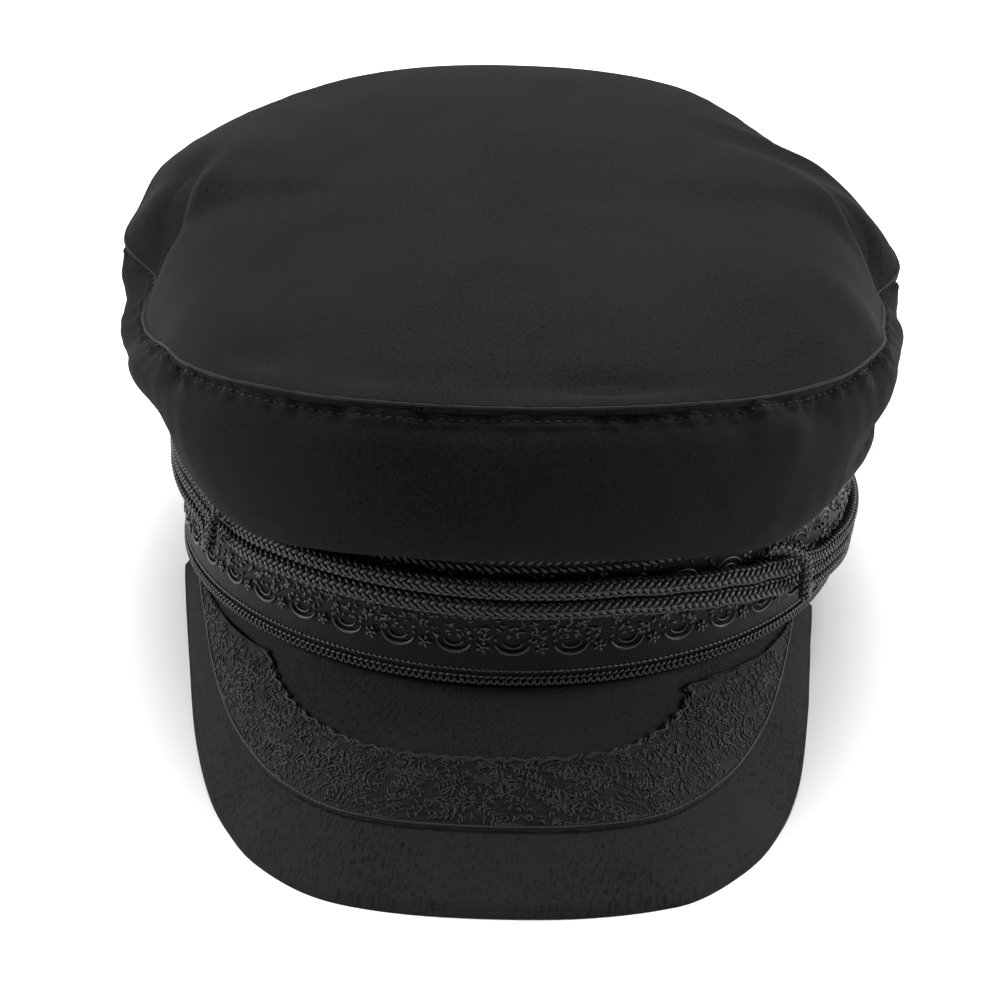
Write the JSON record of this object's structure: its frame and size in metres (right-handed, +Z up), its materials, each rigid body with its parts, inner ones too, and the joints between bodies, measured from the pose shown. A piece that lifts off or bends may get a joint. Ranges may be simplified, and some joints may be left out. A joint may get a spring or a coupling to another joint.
{
  "type": "sailor cap",
  "caption": "Soft sailor cap with a puffed crown, lace-trimmed band, braided cords tied at the temples and a stiff peak with an applique.",
  "frame": {"origin": "on the surface that the cap rests on, under the middle of its box", "axes": "+Z up from the surface that the cap rests on; -Y towards the front, where the peak points; +X to the wearer's left"},
  "size_m": [0.1992, 0.2758, 0.1121],
  "materials": {
    "twill": "matt black cotton twill",
    "band_cloth": "matt black plain cloth",
    "lace": "black woven lace ribbon with a slight sheen",
    "cord": "glossy black braided cord",
    "embroidery": "black embroidery thread, slightly blue, with a low sheen"
  },
  "bodies": {
    "root": {"crown_top": "twill", "crown_side": "twill", "head_band": "band_cloth", "lace_trim": "lace", "cord_upper": "cord", "cord_lower": "cord", "cord_tie": "cord", "peak": "twill", "peak_applique": "embroidery"}
  },
  "joints": []
}
